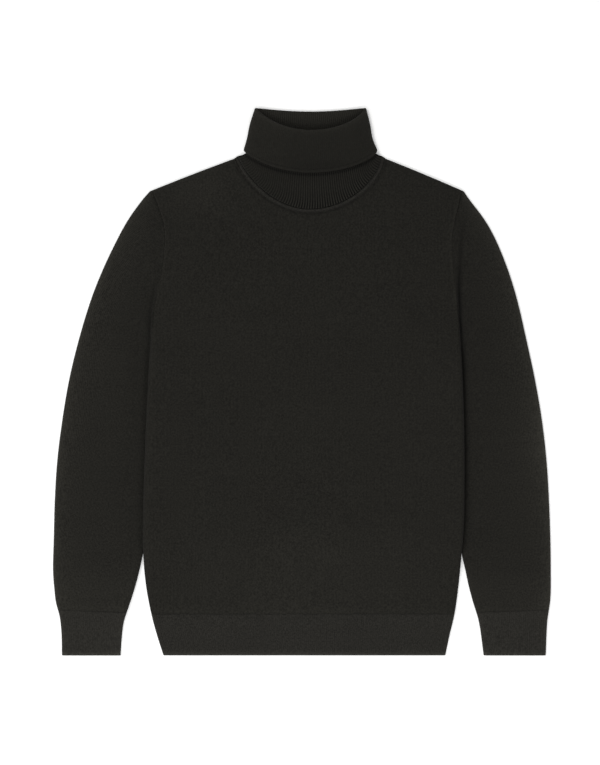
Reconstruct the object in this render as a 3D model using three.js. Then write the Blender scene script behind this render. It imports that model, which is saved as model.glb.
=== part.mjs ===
// Turtleneck sweater in fine knitted wool, lying flat on its back with the
// arms straight down beside the body and the collar folded down once.
//
// Frame: millimetres. +X runs across the sweater, +Y from the hem to the
// collar, +Z up from the surface it lies on. The origin is on that surface,
// under the middle of the sweater. Left and right in the tables mean the -X
// and the +X side; left and right in the piece names mean the wearer's own.
//
// Every piece is a wall of cloth. Front and back lie on each other and are
// joined at the shoulders and the sides; the sleeves are flattened tubes set
// into the armholes, and their inner edges are tucked under the body; the
// collar is one tube, folded over at its rim.

import * as THREE from 'three';

// ---- driving dimensions -------------------------------------------------
const WALL = 1.6;            // thickness of the knitted cloth
const SEAM = 0.3;            // clearance between pieces that are sewn together
const RIB_LINE = -325;       // height where the rib band of the hem begins
const CUFF_LINE = { inner: -322.4, outer: -319.2 };   // where a cuff begins, on the body's side and on the far side
const BAND_END = -382.8;     // lower edge of the rib bands
const ARMHOLE_FOOT = 60;     // height of the underarm point
const SHOULDER_TIP = 267.5;  // height of the top of the armhole
const SHOULDER_BULGE = 0.6;  // how far the shoulder line bows outward
const BODY_GAP = 3.0;        // air between front and back, away from the seams
const HEM_GAP = 1.2;         // air between front and back at the lower edge
const ARMHOLE_GAP = 2.2;     // air between front and back along the armhole
const SLEEVE_CROWN = 7.0;    // height of a sleeve that lies free
const SLEEVE_HEAD = 5.5;     // height of a sleeve along its armhole seam
const SLEEVE_TUCKED = 4.0;   // height of the sleeve's strip under the body
const TUCK_LIFT = 4.9;       // height of the back panel over that strip
const TUCK_COLUMN = 44;      // the lift reaches this far in from the side edge
const EDGE_LEVEL = 1.9;      // height of the outermost line of a folded edge
const CUFF_CROWN = 6.4;      // height of a cuff at the rib line
const CUFF_END = 5.2;        // height of a cuff at its lower edge
const NECK_POWER = { left: 0.80, right: 0.65 };   // roundness of the neckline in front
const NAPE_POWER = 1.3;      // and at the back, where it is flatter

// Side edges of the body: the side seam up to ARMHOLE_FOOT, the armhole seam
// above it.
const BODY_EDGE = [
  { y: 267.5, left: -208.5, right: 222.6 },
  { y: 247.0, left: -201.0, right: 218.5 },
  { y: 226.0, left: -194.0, right: 213.5 },
  { y: 205.0, left: -191.0, right: 210.0 },
  { y: 177.0, left: -192.5, right: 209.5 },
  { y: 149.0, left: -195.5, right: 211.5 },
  { y: 121.0, left: -201.5, right: 215.0 },
  { y: 100.0, left: -206.5, right: 217.0 },
  { y: 60.0, left: -211.0, right: 221.2 },
  { y: -26.0, left: -216.0, right: 225.4 },
  { y: -110.0, left: -219.5, right: 227.0 },
  { y: -194.0, left: -222.0, right: 226.2 },
  { y: -244.5, left: -221.5, right: 222.8 },
  { y: -285.0, left: -218.0, right: 219.0 },
  { y: -325.0, left: -210.5, right: 213.4 },
  { y: -355.0, left: -202.5, right: 206.4 },
  { y: -383.0, left: -193.5, right: 200.4 },
];

// Outer edges of the sleeves, from the shoulder to the rib line.
const SLEEVE_OUTER = [
  { y: 267.5, left: -211.0, right: 225.0 },
  { y: 254.0, left: -223.0, right: 234.4 },
  { y: 226.0, left: -243.0, right: 255.4 },
  { y: 198.0, left: -258.5, right: 271.0 },
  { y: 156.0, left: -278.5, right: 288.1 },
  { y: 114.0, left: -295.0, right: 301.0 },
  { y: 58.0, left: -312.0, right: 314.0 },
  { y: 2.0, left: -325.5, right: 326.0 },
  { y: -54.0, left: -335.0, right: 335.6 },
  { y: -110.0, left: -342.0, right: 342.0 },
  { y: -166.0, left: -345.5, right: 345.5 },
  { y: -222.0, left: -347.0, right: 347.5 },
  { y: -264.0, left: -348.0, right: 348.0 },
  { y: -292.0, left: -346.0, right: 348.0 },
  { y: -308.5, left: -344.0, right: 347.0 },
  { y: -325.0, left: -339.5, right: 344.5 },
];

// Inner edges of the sleeves. Between 20 and -225 they lie under the body.
const SLEEVE_INNER = [
  { y: 60.0, left: -211.6, right: 221.8 },
  { y: 45.0, left: -213.0, right: 222.8 },
  { y: 28.0, left: -213.6, right: 223.8 },
  { y: 2.0, left: -198.0, right: 205.0 },
  { y: -40.0, left: -187.0, right: 194.0 },
  { y: -96.0, left: -189.0, right: 196.0 },
  { y: -152.0, left: -199.5, right: 205.0 },
  { y: -194.0, left: -210.5, right: 214.5 },
  { y: -222.0, left: -218.5, right: 221.0 },
  { y: -244.5, left: -222.8, right: 224.0 },
  { y: -264.0, left: -227.0, right: 228.5 },
  { y: -285.0, left: -232.5, right: 233.0 },
  { y: -306.0, left: -239.0, right: 238.5 },
  { y: -325.0, left: -245.5, right: 244.5 },
];

// Cuffs, from the rib line to their lower edge.
const CUFF_EDGE = [
  { y: -318.0, innerLeft: -243.1, outerLeft: -341.6, innerRight: 242.3, outerRight: 345.7 },
  { y: -325.0, innerLeft: -245.5, outerLeft: -339.5, innerRight: 244.5, outerRight: 344.5 },
  { y: -336.5, innerLeft: -249.0, outerLeft: -337.5, innerRight: 247.5, outerRight: 343.0 },
  { y: -355.0, innerLeft: -251.5, outerLeft: -336.0, innerRight: 250.5, outerRight: 342.0 },
  { y: -383.0, innerLeft: -253.5, outerLeft: -335.5, innerRight: 254.0, outerRight: 341.0 },
];

// The neck, ring by ring. left and right are the ends of a flattened ring,
// side its height in Y at both ends, front and back its height in Y in the
// middle; top and under are the Z of the cloth's faces turned away from the
// neck hole, in front and at the back.
const NECK_SEAM_RINGS = [
  { name: 'body side', left: -94.4, right: 116.9, side: 311.8, front: 236.4, back: 301.9, top: 6.3, under: 0.0 },
  { name: 'crest', left: -92.2, right: 114.7, side: 313.4, front: 238.5, back: 303.9, top: 7.4, under: 0.0 },
  { name: 'collar side', left: -90.0, right: 112.5, side: 314.9, front: 240.6, back: 305.8, top: 6.6, under: 0.0 },
];
const STAND_RINGS = [
  { name: 'foot', left: -89.2, right: 111.7, side: 315.3, front: 241.2, back: 306.3, top: 6.6, under: 0.0 },
  { name: 'flare', left: -82.6, right: 106.6, side: 316.8, front: 247.5, back: 310.0, top: 7.8, under: 1.2 },
  { name: 'waist', left: -77.6, right: 102.2, side: 320.2, front: 256.0, back: 314.0, top: 9.2, under: 2.2 },
  { name: 'column', left: -75.8, right: 100.0, side: 327.5, front: 269.0, back: 323.0, top: 10.8, under: 2.2 },
  { name: 'middle', left: -71.3, right: 96.0, side: 346.5, front: 299.0, back: 341.0, top: 11.4, under: 2.2 },
  { name: 'upper', left: -66.5, right: 92.4, side: 365.0, front: 326.0, back: 360.0, top: 11.6, under: 2.2 },
  { name: 'rim', left: -63.6, right: 87.7, side: 380.4, front: 350.0, back: 375.8, top: 11.6, under: 2.2 },
];
const FOLD_RINGS = [
  { name: 'rim', left: -66.2, right: 90.2, side: 380.2, front: 349.8, back: 375.6, top: 13.8, under: 0.0 },
  { name: 'upper', left: -72.9, right: 95.4, side: 359.0, front: 331.0, back: 357.0, top: 14.0, under: 0.0 },
  { name: 'lower', left: -77.0, right: 99.0, side: 339.0, front: 310.0, back: 337.0, top: 14.2, under: 0.0 },
  { name: 'edge', left: -81.8, right: 105.8, side: 322.4, front: 291.0, back: 318.0, top: 14.3, under: 0.0 },
];
const RIM_RISE = 1.7;        // the rolled rim stands this far above both layers

// Grid lines of the body panels.
const SIDE_COLUMNS = [0, 5, 24, TUCK_COLUMN, 64];            // in from the side edge
const BODY_ROWS = [-290, -262, -240, -222, -150, -70, 0, 28];
const ARMHOLE_ROWS = [ARMHOLE_FOOT, 85, 115, 150, 185, 220, 250, SHOULDER_TIP];
const HALF_RING = 10;                                        // steps along half a neck ring
const SLEEVE_ROWS = [0, 0.025, 0.06, 0.11, 0.18, 0.27, 0.37, 0.47, 0.57, 0.67, 0.76, 0.84, 0.90, 0.95, 1];
const CUFF_COLUMNS = [0, 0.05, 0.2, 0.4, 0.6, 0.8, 0.95, 1];

// ---- small helpers ------------------------------------------------------
const lerp = (a, b, t) => a + (b - a) * t;
const clamp01 = (t) => Math.min(1, Math.max(0, t));
const smooth = (t) => { const c = clamp01(t); return c * c * (3 - 2 * c); };

// One column of a table at height y, as a smooth curve through its rows.
function at(table, key, y) {
  const rows = table[0].y > table[table.length - 1].y ? table : [...table].reverse();
  let i = rows.findIndex((row, k) => k + 1 < rows.length && y <= row.y && y >= rows[k + 1].y);
  if (i < 0) i = y > rows[0].y ? 0 : rows.length - 2;
  const slope = (k) => {
    const a = rows[Math.max(0, k - 1)], b = rows[Math.min(rows.length - 1, k + 1)];
    return (b[key] - a[key]) / (b.y - a.y);
  };
  const p = rows[i], q = rows[i + 1], h = q.y - p.y, t = (y - p.y) / h;
  const t2 = t * t, t3 = t2 * t;
  return (2 * t3 - 3 * t2 + 1) * p[key] + (t3 - 2 * t2 + t) * h * slope(i)
    + (3 * t2 - 2 * t3) * q[key] + (t3 - t2) * h * slope(i + 1);
}

function distanceToSegment(x, y, a, b) {
  const dx = b.x - a.x, dy = b.y - a.y;
  const t = clamp01(((x - a.x) * dx + (y - a.y) * dy) / (dx * dx + dy * dy));
  return Math.hypot(x - a.x - t * dx, y - a.y - t * dy);
}

// A closed solid from numbered points and triangles, its faces turned out.
function solid(points, faces) {
  let volume = 0;
  for (const [a, b, c] of faces) {
    const [p, q, r] = [points[a], points[b], points[c]];
    volume += p[0] * (q[1] * r[2] - q[2] * r[1]) - p[1] * (q[0] * r[2] - q[2] * r[0])
      + p[2] * (q[0] * r[1] - q[1] * r[0]);
  }
  const index = volume > 0 ? faces.flat() : faces.flatMap(([a, b, c]) => [a, c, b]);
  const geometry = new THREE.BufferGeometry();
  geometry.setAttribute('position', new THREE.Float32BufferAttribute(points.flat(), 3));
  geometry.setIndex(index);
  geometry.computeVertexNormals();
  return geometry;
}

// A panel: a grid of upper points over a grid of lower points, closed all
// round by its cut edges.
function panelSolid(upper, lower) {
  const rows = upper.length, cols = upper[0].length, half = rows * cols;
  const points = [...upper.flat(), ...lower.flat()];
  const id = (i, j, side) => side * half + i * cols + j;
  const faces = [];
  const quad = (a, b, c, d) => faces.push([a, b, c], [a, c, d]);
  for (let i = 0; i + 1 < rows; i++) {
    for (let j = 0; j + 1 < cols; j++) {
      quad(id(i, j, 0), id(i, j + 1, 0), id(i + 1, j + 1, 0), id(i + 1, j, 0));
      quad(id(i, j, 1), id(i + 1, j, 1), id(i + 1, j + 1, 1), id(i, j + 1, 1));
    }
  }
  for (let j = 0; j + 1 < cols; j++) {
    quad(id(0, j, 1), id(0, j + 1, 1), id(0, j + 1, 0), id(0, j, 0));
    quad(id(rows - 1, j, 0), id(rows - 1, j + 1, 0), id(rows - 1, j + 1, 1), id(rows - 1, j, 1));
  }
  for (let i = 0; i + 1 < rows; i++) {
    quad(id(i, 0, 0), id(i + 1, 0, 0), id(i + 1, 0, 1), id(i, 0, 1));
    quad(id(i, cols - 1, 1), id(i + 1, cols - 1, 1), id(i + 1, cols - 1, 0), id(i, cols - 1, 0));
  }
  return solid(points, faces);
}

// A tube of cloth: matching rings on its outer and its inner face, joined at
// both cut ends.
function tubeSolid(outer, inner) {
  const rows = outer.length, n = outer[0].length, half = rows * n;
  const points = [...outer.flat(), ...inner.flat()];
  const id = (i, k, side) => side * half + i * n + (k % n);
  const faces = [];
  const quad = (a, b, c, d) => faces.push([a, b, c], [a, c, d]);
  for (let i = 0; i + 1 < rows; i++) {
    for (let k = 0; k < n; k++) {
      quad(id(i, k, 0), id(i, k + 1, 0), id(i + 1, k + 1, 0), id(i + 1, k, 0));
      quad(id(i, k, 1), id(i + 1, k, 1), id(i + 1, k + 1, 1), id(i, k + 1, 1));
    }
  }
  for (let k = 0; k < n; k++) {
    quad(id(0, k, 1), id(0, k + 1, 1), id(0, k + 1, 0), id(0, k, 0));
    quad(id(rows - 1, k, 0), id(rows - 1, k + 1, 0), id(rows - 1, k + 1, 1), id(rows - 1, k, 1));
  }
  return solid(points, faces);
}

// ---- neck rings ---------------------------------------------------------
// Point k of a flattened ring of 2 * HALF_RING points: the first half runs
// over the front from the left end to the right, the rest back underneath.
function ringPoint(ring, k, inward) {
  const angle = Math.PI * k / HALF_RING;
  const q = -Math.cos(angle), front = k <= HALF_RING;
  const round = Math.pow(Math.max(0, 1 - q * q), front ? (q < 0 ? NECK_POWER.left : NECK_POWER.right) : NAPE_POWER);
  const crown = Math.pow(Math.max(0, 1 - Math.pow(Math.abs(q), 6)), 0.5);
  const level = lerp(ring.under, ring.top, 0.34);
  const x = lerp(ring.left + inward, ring.right - inward, (q + 1) / 2);
  const y = ring.side + (front ? ring.front - ring.side : ring.back - ring.side) * round;
  const z = level + (front ? ring.top - inward - level : ring.under + inward - level) * crown;
  return [x, y, z];
}
const neckRing = (ring, inward) =>
  Array.from({ length: 2 * HALF_RING }, (_, k) => ringPoint(ring, k, inward));

// Neckline of a body panel: the neck seam's lower ring, a seam's clearance off.
function necklinePoint(k, isFront) {
  const r = NECK_SEAM_RINGS[0], off = SEAM + 0.1;
  const ring = { ...r, left: r.left - off, right: r.right + off, side: r.side - off,
    front: r.front - off, back: r.back - off };
  const [x, y] = ringPoint(ring, isFront ? k : 2 * HALF_RING - k, 0);
  return k === 0 ? [ring.left, ring.side] : k === HALF_RING ? [ring.right, ring.side] : [x, y];
}

// ---- body panels --------------------------------------------------------
const neckLeft = necklinePoint(0, true), neckRight = necklinePoint(HALF_RING, true);
const tipLeft = { x: at(BODY_EDGE, 'left', SHOULDER_TIP), y: SHOULDER_TIP };
const tipRight = { x: at(BODY_EDGE, 'right', SHOULDER_TIP), y: SHOULDER_TIP };
const hpsLeft = { x: neckLeft[0], y: neckLeft[1] }, hpsRight = { x: neckRight[0], y: neckRight[1] };

// Upper boundary of a panel, left to right: shoulder, neckline, shoulder.
function upperBoundary(isFront) {
  const shoulder = (tip, hps, x) => {
    const f = (x - tip.x) / (hps.x - tip.x);
    return [x, lerp(tip.y, hps.y, f) + SHOULDER_BULGE * Math.sin(Math.PI * f)];
  };
  const left = SIDE_COLUMNS.map((d) => shoulder(tipLeft, hpsLeft, tipLeft.x + d));
  const neck = Array.from({ length: HALF_RING + 1 }, (_, k) => necklinePoint(k, isFront));
  const right = [...SIDE_COLUMNS].reverse().map((d) => shoulder(tipRight, hpsRight, tipRight.x - d));
  return [...left, ...neck, ...right];
}

// How far the back panel is lifted by the sleeve strip tucked under it.
function tuckLift(x, y, xl, xr) {
  const d = Math.min(x - xl, xr - x);
  const across = clamp01((64 - d) / (64 - TUCK_COLUMN));
  const along = clamp01((ARMHOLE_FOOT - y) / 30) * clamp01((y + 262) / 37);
  return TUCK_LIFT * across * along;
}

// Air between front and back: closed at the side and shoulder seams.
function bodyGap(x, y, xl, xr) {
  const d = Math.min(x - xl, xr - x);
  const sideSeam = Math.sqrt(clamp01(d / 24));
  const armhole = lerp(ARMHOLE_GAP / BODY_GAP, 1, clamp01(d / 24));
  const side = lerp(sideSeam, armhole, smooth((y - ARMHOLE_FOOT) / 25));
  const s = Math.min(distanceToSegment(x, y, tipLeft, hpsLeft), distanceToSegment(x, y, tipRight, hpsRight));
  const shoulder = Math.sqrt(clamp01((s - SHOULDER_BULGE) / 24));
  const hem = lerp(HEM_GAP / BODY_GAP, 1, smooth((y - BAND_END) / (RIB_LINE - BAND_END + 30)));
  return SEAM + (BODY_GAP - SEAM) * side * shoulder * hem;
}

// Both faces of a body panel at one grid point.
function bodyFaces(isFront, x, y, xl, xr) {
  const low = tuckLift(x, y, xl, xr);
  const z = isFront ? low + WALL + bodyGap(x, y, xl, xr) : low;
  return { upper: [x, y, z + WALL], lower: [x, y, z] };
}

function bodyPanel(isFront) {
  const top = upperBoundary(isFront);
  const rows = [RIB_LINE + SEAM / 2, ...BODY_ROWS, ...ARMHOLE_ROWS];
  const upper = [], lower = [];
  for (const rowY of rows) {
    const v = (rowY - rows[0]) / (SHOULDER_TIP - rows[0]);
    const xl = at(BODY_EDGE, 'left', rowY), xr = at(BODY_EDGE, 'right', rowY);
    const line = top.map(([tx, ty]) => {
      const u = (tx - tipLeft.x) / (tipRight.x - tipLeft.x);
      return bodyFaces(isFront, lerp(xl, xr, u), rowY + v * (ty - SHOULDER_TIP), xl, xr);
    });
    upper.push(line.map((p) => p.upper));
    lower.push(line.map((p) => p.lower));
  }
  return panelSolid(upper, lower);
}

// The rib band below a body panel.
function hemBand(isFront) {
  const columns = [0, 0.012, 0.06, 0.16, 0.28, 0.43, 0.57, 0.72, 0.84, 0.94, 0.988, 1];
  const rows = [RIB_LINE - SEAM / 2, -345, -365, BAND_END];
  const grid = rows.map((y) => {
    const xl = at(BODY_EDGE, 'left', y), xr = at(BODY_EDGE, 'right', y);
    return columns.map((u) => bodyFaces(isFront, lerp(xl, xr, u), y, xl, xr));
  });
  return panelSolid(grid.map((r) => r.map((p) => p.upper)), grid.map((r) => r.map((p) => p.lower)));
}

// ---- sleeves and cuffs --------------------------------------------------
// One flattened ring: a row of plan points from the inner to the outer edge,
// with the height of its upper side. The lower side lies on the surface.
function flatRing(row, inward) {
  const n = row.length, first = row[0], last = row[n - 1];
  const width = Math.hypot(last.x - first.x, last.y - first.y);
  const along = [(last.x - first.x) / width, (last.y - first.y) / width];
  const place = (j) => {
    let { x, y } = row[j];
    const s = (x - first.x) * along[0] + (y - first.y) * along[1];
    const least = j === 0 || j === n - 1 ? inward : inward + 0.7;
    if (inward && j < n / 2 && s < least) { x += along[0] * (least - s); y += along[1] * (least - s); }
    if (inward && j >= n / 2 && s > width - least) {
      x -= along[0] * (s - width + least); y -= along[1] * (s - width + least);
    }
    return [x, y];
  };
  const ring = [[...place(0), EDGE_LEVEL]];
  for (let j = 1; j < n - 1; j++) ring.push([...place(j), row[j].top - inward]);
  ring.push([...place(n - 1), EDGE_LEVEL]);
  for (let j = n - 2; j > 0; j--) ring.push([...place(j), inward]);
  return ring;
}

// The armhole seam as the body panels' rows give it, from the underarm up.
function armholePoint(u, side) {
  const y = lerp(ARMHOLE_FOOT, SHOULDER_TIP, u);
  const i = Math.min(ARMHOLE_ROWS.length - 2, ARMHOLE_ROWS.findIndex((r, k) => k + 1 < ARMHOLE_ROWS.length && y <= ARMHOLE_ROWS[k + 1] + 1e-9));
  const a = ARMHOLE_ROWS[i], b = ARMHOLE_ROWS[i + 1];
  const x = lerp(at(BODY_EDGE, side, a), at(BODY_EDGE, side, b), (y - a) / (b - a));
  return [x + (side === 'left' ? -1 : 1) * (SEAM + 0.1), y];
}

function sleeveRow(v, side) {
  const sign = side === 'left' ? -1 : 1;
  const innerY = lerp(ARMHOLE_FOOT, CUFF_LINE.inner + SEAM / 2, Math.pow(v, 1.6));
  const outerY = lerp(SHOULDER_TIP, CUFF_LINE.outer + SEAM / 2, Math.pow(v, 0.9));
  const inner = [at(SLEEVE_INNER, side, innerY), innerY];
  const outer = [at(SLEEVE_OUTER, side, outerY), outerY];
  const span = ARMHOLE_ROWS.map((r) => (r - ARMHOLE_FOOT) / (SHOULDER_TIP - ARMHOLE_FOOT));
  const columns = [0, 0.03, ...span.slice(1, -1), 0.97, 1];
  const width = Math.hypot(outer[0] - inner[0], outer[1] - inner[1]);
  return columns.map((u) => {
    const foot = armholePoint(0, side), tip = armholePoint(1, side), seam = armholePoint(u, side);
    const x = lerp(inner[0], outer[0], u) + (1 - v) * (seam[0] - lerp(foot[0], tip[0], u));
    const y = lerp(inner[1], outer[1], u) + (1 - v) * (seam[1] - lerp(foot[1], tip[1], u));
    const beyond = sign * (x - at(BODY_EDGE, side, Math.min(y, SHOULDER_TIP)));
    const free = Math.max(smooth((beyond - 8) / 30), smooth((y - ARMHOLE_FOOT) / 30), smooth((-228 - y) / 40));
    const crown = lerp(SLEEVE_HEAD, SLEEVE_CROWN, smooth(v / 0.2));
    const edge = Math.min((1 - u) * width, u * width + 60 * (1 - smooth((-228 - y) / 40)));
    const rise = lerp(0.55, 1, Math.sqrt(clamp01(edge / 16)));
    return { x, y, top: SLEEVE_TUCKED + (crown * rise - SLEEVE_TUCKED) * (rise * crown > SLEEVE_TUCKED ? free : 0) };
  });
}

function sleeve(side) {
  const rows = SLEEVE_ROWS.map((v) => sleeveRow(v, side));
  [[rows[0][0], 0], [rows[0][rows[0].length - 1], 1]].forEach(([p, u]) => { [p.x, p.y] = armholePoint(u, side); });
  return tubeSolid(rows.map((r) => flatRing(r, 0)), rows.map((r) => flatRing(r, WALL)));
}

function cuff(side) {
  const key = side === 'left' ? 'Left' : 'Right';
  const rows = [0, 0.35, 0.69, 1].map((v) => {
    const yi = lerp(CUFF_LINE.inner - SEAM / 2, BAND_END, v), yo = lerp(CUFF_LINE.outer - SEAM / 2, BAND_END, v);
    const xi = at(CUFF_EDGE, 'inner' + key, yi), xo = at(CUFF_EDGE, 'outer' + key, yo);
    const crown = lerp(CUFF_CROWN, CUFF_END, v);
    return CUFF_COLUMNS.map((u) => {
      const edge = Math.min(u, 1 - u) * Math.abs(xo - xi);
      return { x: lerp(xi, xo, u), y: lerp(yi, yo, u), top: crown * lerp(0.72, 1, Math.sqrt(clamp01(edge / 16))) };
    });
  });
  return tubeSolid(rows.map((r) => flatRing(r, 0)), rows.map((r) => flatRing(r, WALL)));
}

// ---- collar and neck seam -----------------------------------------------
// The collar's cloth runs up the stand, over the rim and down the outside.
// Its neck face lines the neck hole and then shows on the fold; its other
// face lies between the two layers.
function collar() {
  const stand = STAND_RINGS, fold = FOLD_RINGS;
  const rim = (rise, grow) => {
    const a = stand[stand.length - 1], b = fold[0];
    const mid = (key) => lerp(a[key], b[key], 0.5);
    return { left: mid('left') - grow, right: mid('right') + grow, side: a.side + rise,
      front: a.front + rise, back: a.back + rise, top: mid('top'), under: mid('under') };
  };
  const neckFace = [...stand.map((r) => neckRing(r, WALL)), neckRing(rim(RIM_RISE, 0), 0.8), ...fold.map((r) => neckRing(r, 0))];
  const innerFace = [...stand.map((r) => neckRing(r, 0)), neckRing(rim(0.15, 0), 0.8), ...fold.map((r) => neckRing(r, WALL))];
  return tubeSolid(neckFace, innerFace);
}

const neckSeam = () =>
  tubeSolid(NECK_SEAM_RINGS.map((r) => neckRing(r, 0)), NECK_SEAM_RINGS.map((r) => neckRing({ ...r, top: 6.3 }, WALL)));

// ---- the sweater --------------------------------------------------------
const knit = { color: 0x24231f, roughness: 0.95, metalness: 0 };
const rib = { color: 0x2a2925, roughness: 0.95, metalness: 0 };
const sweater = new THREE.Group();
function piece(name, geometry, finish) {
  const mesh = new THREE.Mesh(geometry, new THREE.MeshStandardMaterial(finish));
  mesh.name = name;
  sweater.add(mesh);
}

piece('front', bodyPanel(true), knit);
piece('back', bodyPanel(false), knit);
piece('sleeve_right', sleeve('left'), knit);
piece('sleeve_left', sleeve('right'), knit);
piece('hem_rib_front', hemBand(true), rib);
piece('hem_rib_back', hemBand(false), rib);
piece('cuff_right', cuff('left'), rib);
piece('cuff_left', cuff('right'), rib);
piece('collar', collar(), rib);
piece('neck_seam', neckSeam(), rib);

export default sweater;
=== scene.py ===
# Turtleneck sweater in fine knitted wool, lying flat: the looks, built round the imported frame.
# Sizes in the tables are millimetres in the frame's own axes (+X across, +Y hem to collar, +Z up).
import math

import bpy
import numpy as np
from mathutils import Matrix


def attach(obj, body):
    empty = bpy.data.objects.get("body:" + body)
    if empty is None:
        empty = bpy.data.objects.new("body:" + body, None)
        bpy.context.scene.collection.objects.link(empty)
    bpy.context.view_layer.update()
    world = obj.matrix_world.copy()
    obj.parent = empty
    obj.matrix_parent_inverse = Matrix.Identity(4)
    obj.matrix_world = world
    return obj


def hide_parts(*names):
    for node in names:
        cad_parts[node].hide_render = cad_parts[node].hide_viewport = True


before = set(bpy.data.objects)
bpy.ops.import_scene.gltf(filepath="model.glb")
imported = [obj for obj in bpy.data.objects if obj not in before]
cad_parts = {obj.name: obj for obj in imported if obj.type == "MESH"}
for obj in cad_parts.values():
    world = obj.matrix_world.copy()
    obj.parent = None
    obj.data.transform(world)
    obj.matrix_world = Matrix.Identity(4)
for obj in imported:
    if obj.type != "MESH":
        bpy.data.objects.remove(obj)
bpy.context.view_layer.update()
scene = bpy.context.scene
MM = 0.001

# ---------------------------------------------------------------- sizes (as the frame's solids)
WALL = 1.6
RIB_LINE, BAND_END = -325.0, -382.8
CUFF_LINE = (-322.4, -319.2)     # where a cuff begins, on the body's side and on the far side
ARMHOLE_FOOT, SHOULDER_TIP = 60.0, 267.5
SHOULDER_BULGE = 0.6
BODY_GAP, ARMHOLE_GAP = 3.0, 2.2
SLEEVE_CROWN, SLEEVE_HEAD, SLEEVE_TUCKED = 7.0, 5.5, 4.0
TUCK_LIFT, TUCK_COLUMN = 4.9, 44.0
EDGE_LEVEL = 1.9
CUFF_CROWN, CUFF_END = 6.4, 5.2
NECK_POWER, NAPE_POWER = (0.80, 0.65), 1.3
OVERLAP = 0.25          # neighbouring pieces run this far into each other, so no light leaks through a seam

# y, left, right
BODY_EDGE = [
    (267.5, -208.5, 222.6), (247.0, -201.0, 218.5), (226.0, -194.0, 213.5), (205.0, -191.0, 210.0),
    (177.0, -192.5, 209.5), (149.0, -195.5, 211.5), (121.0, -201.5, 215.0), (100.0, -206.5, 217.0),
    (60.0, -211.0, 221.2), (-26.0, -216.0, 225.4), (-110.0, -219.5, 227.0), (-194.0, -222.0, 226.2),
    (-244.5, -221.5, 222.8), (-285.0, -218.0, 219.0), (-325.0, -210.5, 213.4), (-355.0, -202.5, 206.4),
    (-383.0, -193.5, 200.4),
]
SLEEVE_OUTER = [
    (267.5, -211.0, 225.0), (254.0, -223.0, 234.4), (226.0, -243.0, 255.4), (198.0, -258.5, 271.0),
    (156.0, -278.5, 288.1), (114.0, -295.0, 301.0), (58.0, -312.0, 314.0), (2.0, -325.5, 326.0),
    (-54.0, -335.0, 335.6), (-110.0, -342.0, 342.0), (-166.0, -345.5, 345.5), (-222.0, -347.0, 347.5),
    (-264.0, -348.0, 348.0), (-292.0, -346.0, 348.0), (-308.5, -344.0, 347.0), (-325.0, -339.5, 344.5),
]
SLEEVE_INNER = [
    (60.0, -211.6, 221.8), (45.0, -213.0, 222.8), (28.0, -213.6, 223.8), (2.0, -198.0, 205.0),
    (-40.0, -187.0, 194.0), (-96.0, -189.0, 196.0), (-152.0, -199.5, 205.0), (-194.0, -210.5, 214.5),
    (-222.0, -218.5, 221.0), (-244.5, -222.8, 224.0), (-264.0, -227.0, 228.5), (-285.0, -232.5, 233.0),
    (-306.0, -239.0, 238.5), (-325.0, -245.5, 244.5),
]
# y, inner left, outer left, inner right, outer right
CUFF_EDGE = [
    (-318.0, -243.1, -341.6, 242.3, 345.7),
    (-325.0, -245.5, -339.5, 244.5, 344.5), (-336.5, -249.0, -337.5, 247.5, 343.0),
    (-355.0, -251.5, -336.0, 250.5, 342.0), (-383.0, -253.5, -335.5, 254.0, 341.0),
]
# left, right, side, front, back, top, under
SEAM_RINGS = [
    (-94.4, 116.9, 311.8, 236.4, 301.9, 6.3, 0.0),
    (-92.2, 114.7, 313.4, 238.5, 303.9, 7.4, 0.0),
    (-90.0, 112.5, 314.9, 240.6, 305.8, 6.6, 0.0),
]
STAND_RINGS = [
    (-89.2, 111.7, 315.3, 241.2, 306.3, 6.6, 0.0),
    (-82.6, 106.6, 316.8, 247.5, 310.0, 7.8, 1.2),
    (-77.6, 102.2, 320.2, 256.0, 314.0, 9.2, 2.2),
    (-75.8, 100.0, 327.5, 269.0, 323.0, 10.8, 2.2),
    (-71.3, 96.0, 346.5, 299.0, 341.0, 11.4, 2.2),
    (-66.5, 92.4, 365.0, 326.0, 360.0, 11.6, 2.2),
    (-63.6, 87.7, 380.4, 350.0, 375.8, 11.6, 2.2),
]
FOLD_RINGS = [
    (-66.2, 90.2, 380.2, 349.8, 375.6, 13.8, 0.0),
    (-72.9, 95.4, 359.0, 331.0, 357.0, 14.0, 0.0),
    (-77.0, 99.0, 339.0, 310.0, 337.0, 14.2, 0.0),
    (-81.8, 105.8, 322.4, 291.0, 318.0, 14.3, 0.0),
]
RIM_RISE = 1.7

# crease of the sleeve beside the body: y, how far outside the body's edge it runs, how deep it is
CREASE_LEFT = [
    (148.0, 7.0, 0.0), (134.0, 6.5, 0.5), (122.0, 6.0, 1.1), (104.0, 4.5, 1.4), (84.0, 3.0, 1.6), (60.0, 2.0, 1.7),
    (0.0, 1.2, 1.2), (-110.0, 1.0, 1.1), (-222.0, 1.0, 0.9), (-325.0, 1.0, 0.0),
]
CREASE_RIGHT = [
    (243.0, 12.0, 0.0), (221.0, 13.0, 0.75), (201.0, 13.0, 1.15), (181.0, 12.0, 1.35), (161.0, 9.8, 1.6),
    (142.0, 7.2, 2.2), (122.0, 4.4, 2.8), (103.0, 3.6, 2.8), (83.0, 2.4, 2.7), (60.0, 1.8, 2.6), (0.0, 1.2, 2.1),
    (-110.0, 1.0, 1.9), (-190.0, 1.0, 1.5), (-230.0, 1.0, 0.9), (-325.0, 1.0, 0.0),
]

WALE, COURSE = 1.95, 1.50        # stitch width and height of the plain knit
BAND_RIB = 2.9                   # pitch of the ribs in hem and cuffs
COLLAR_RIBS = (70, 56)           # ribs of the collar in front and behind


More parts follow.
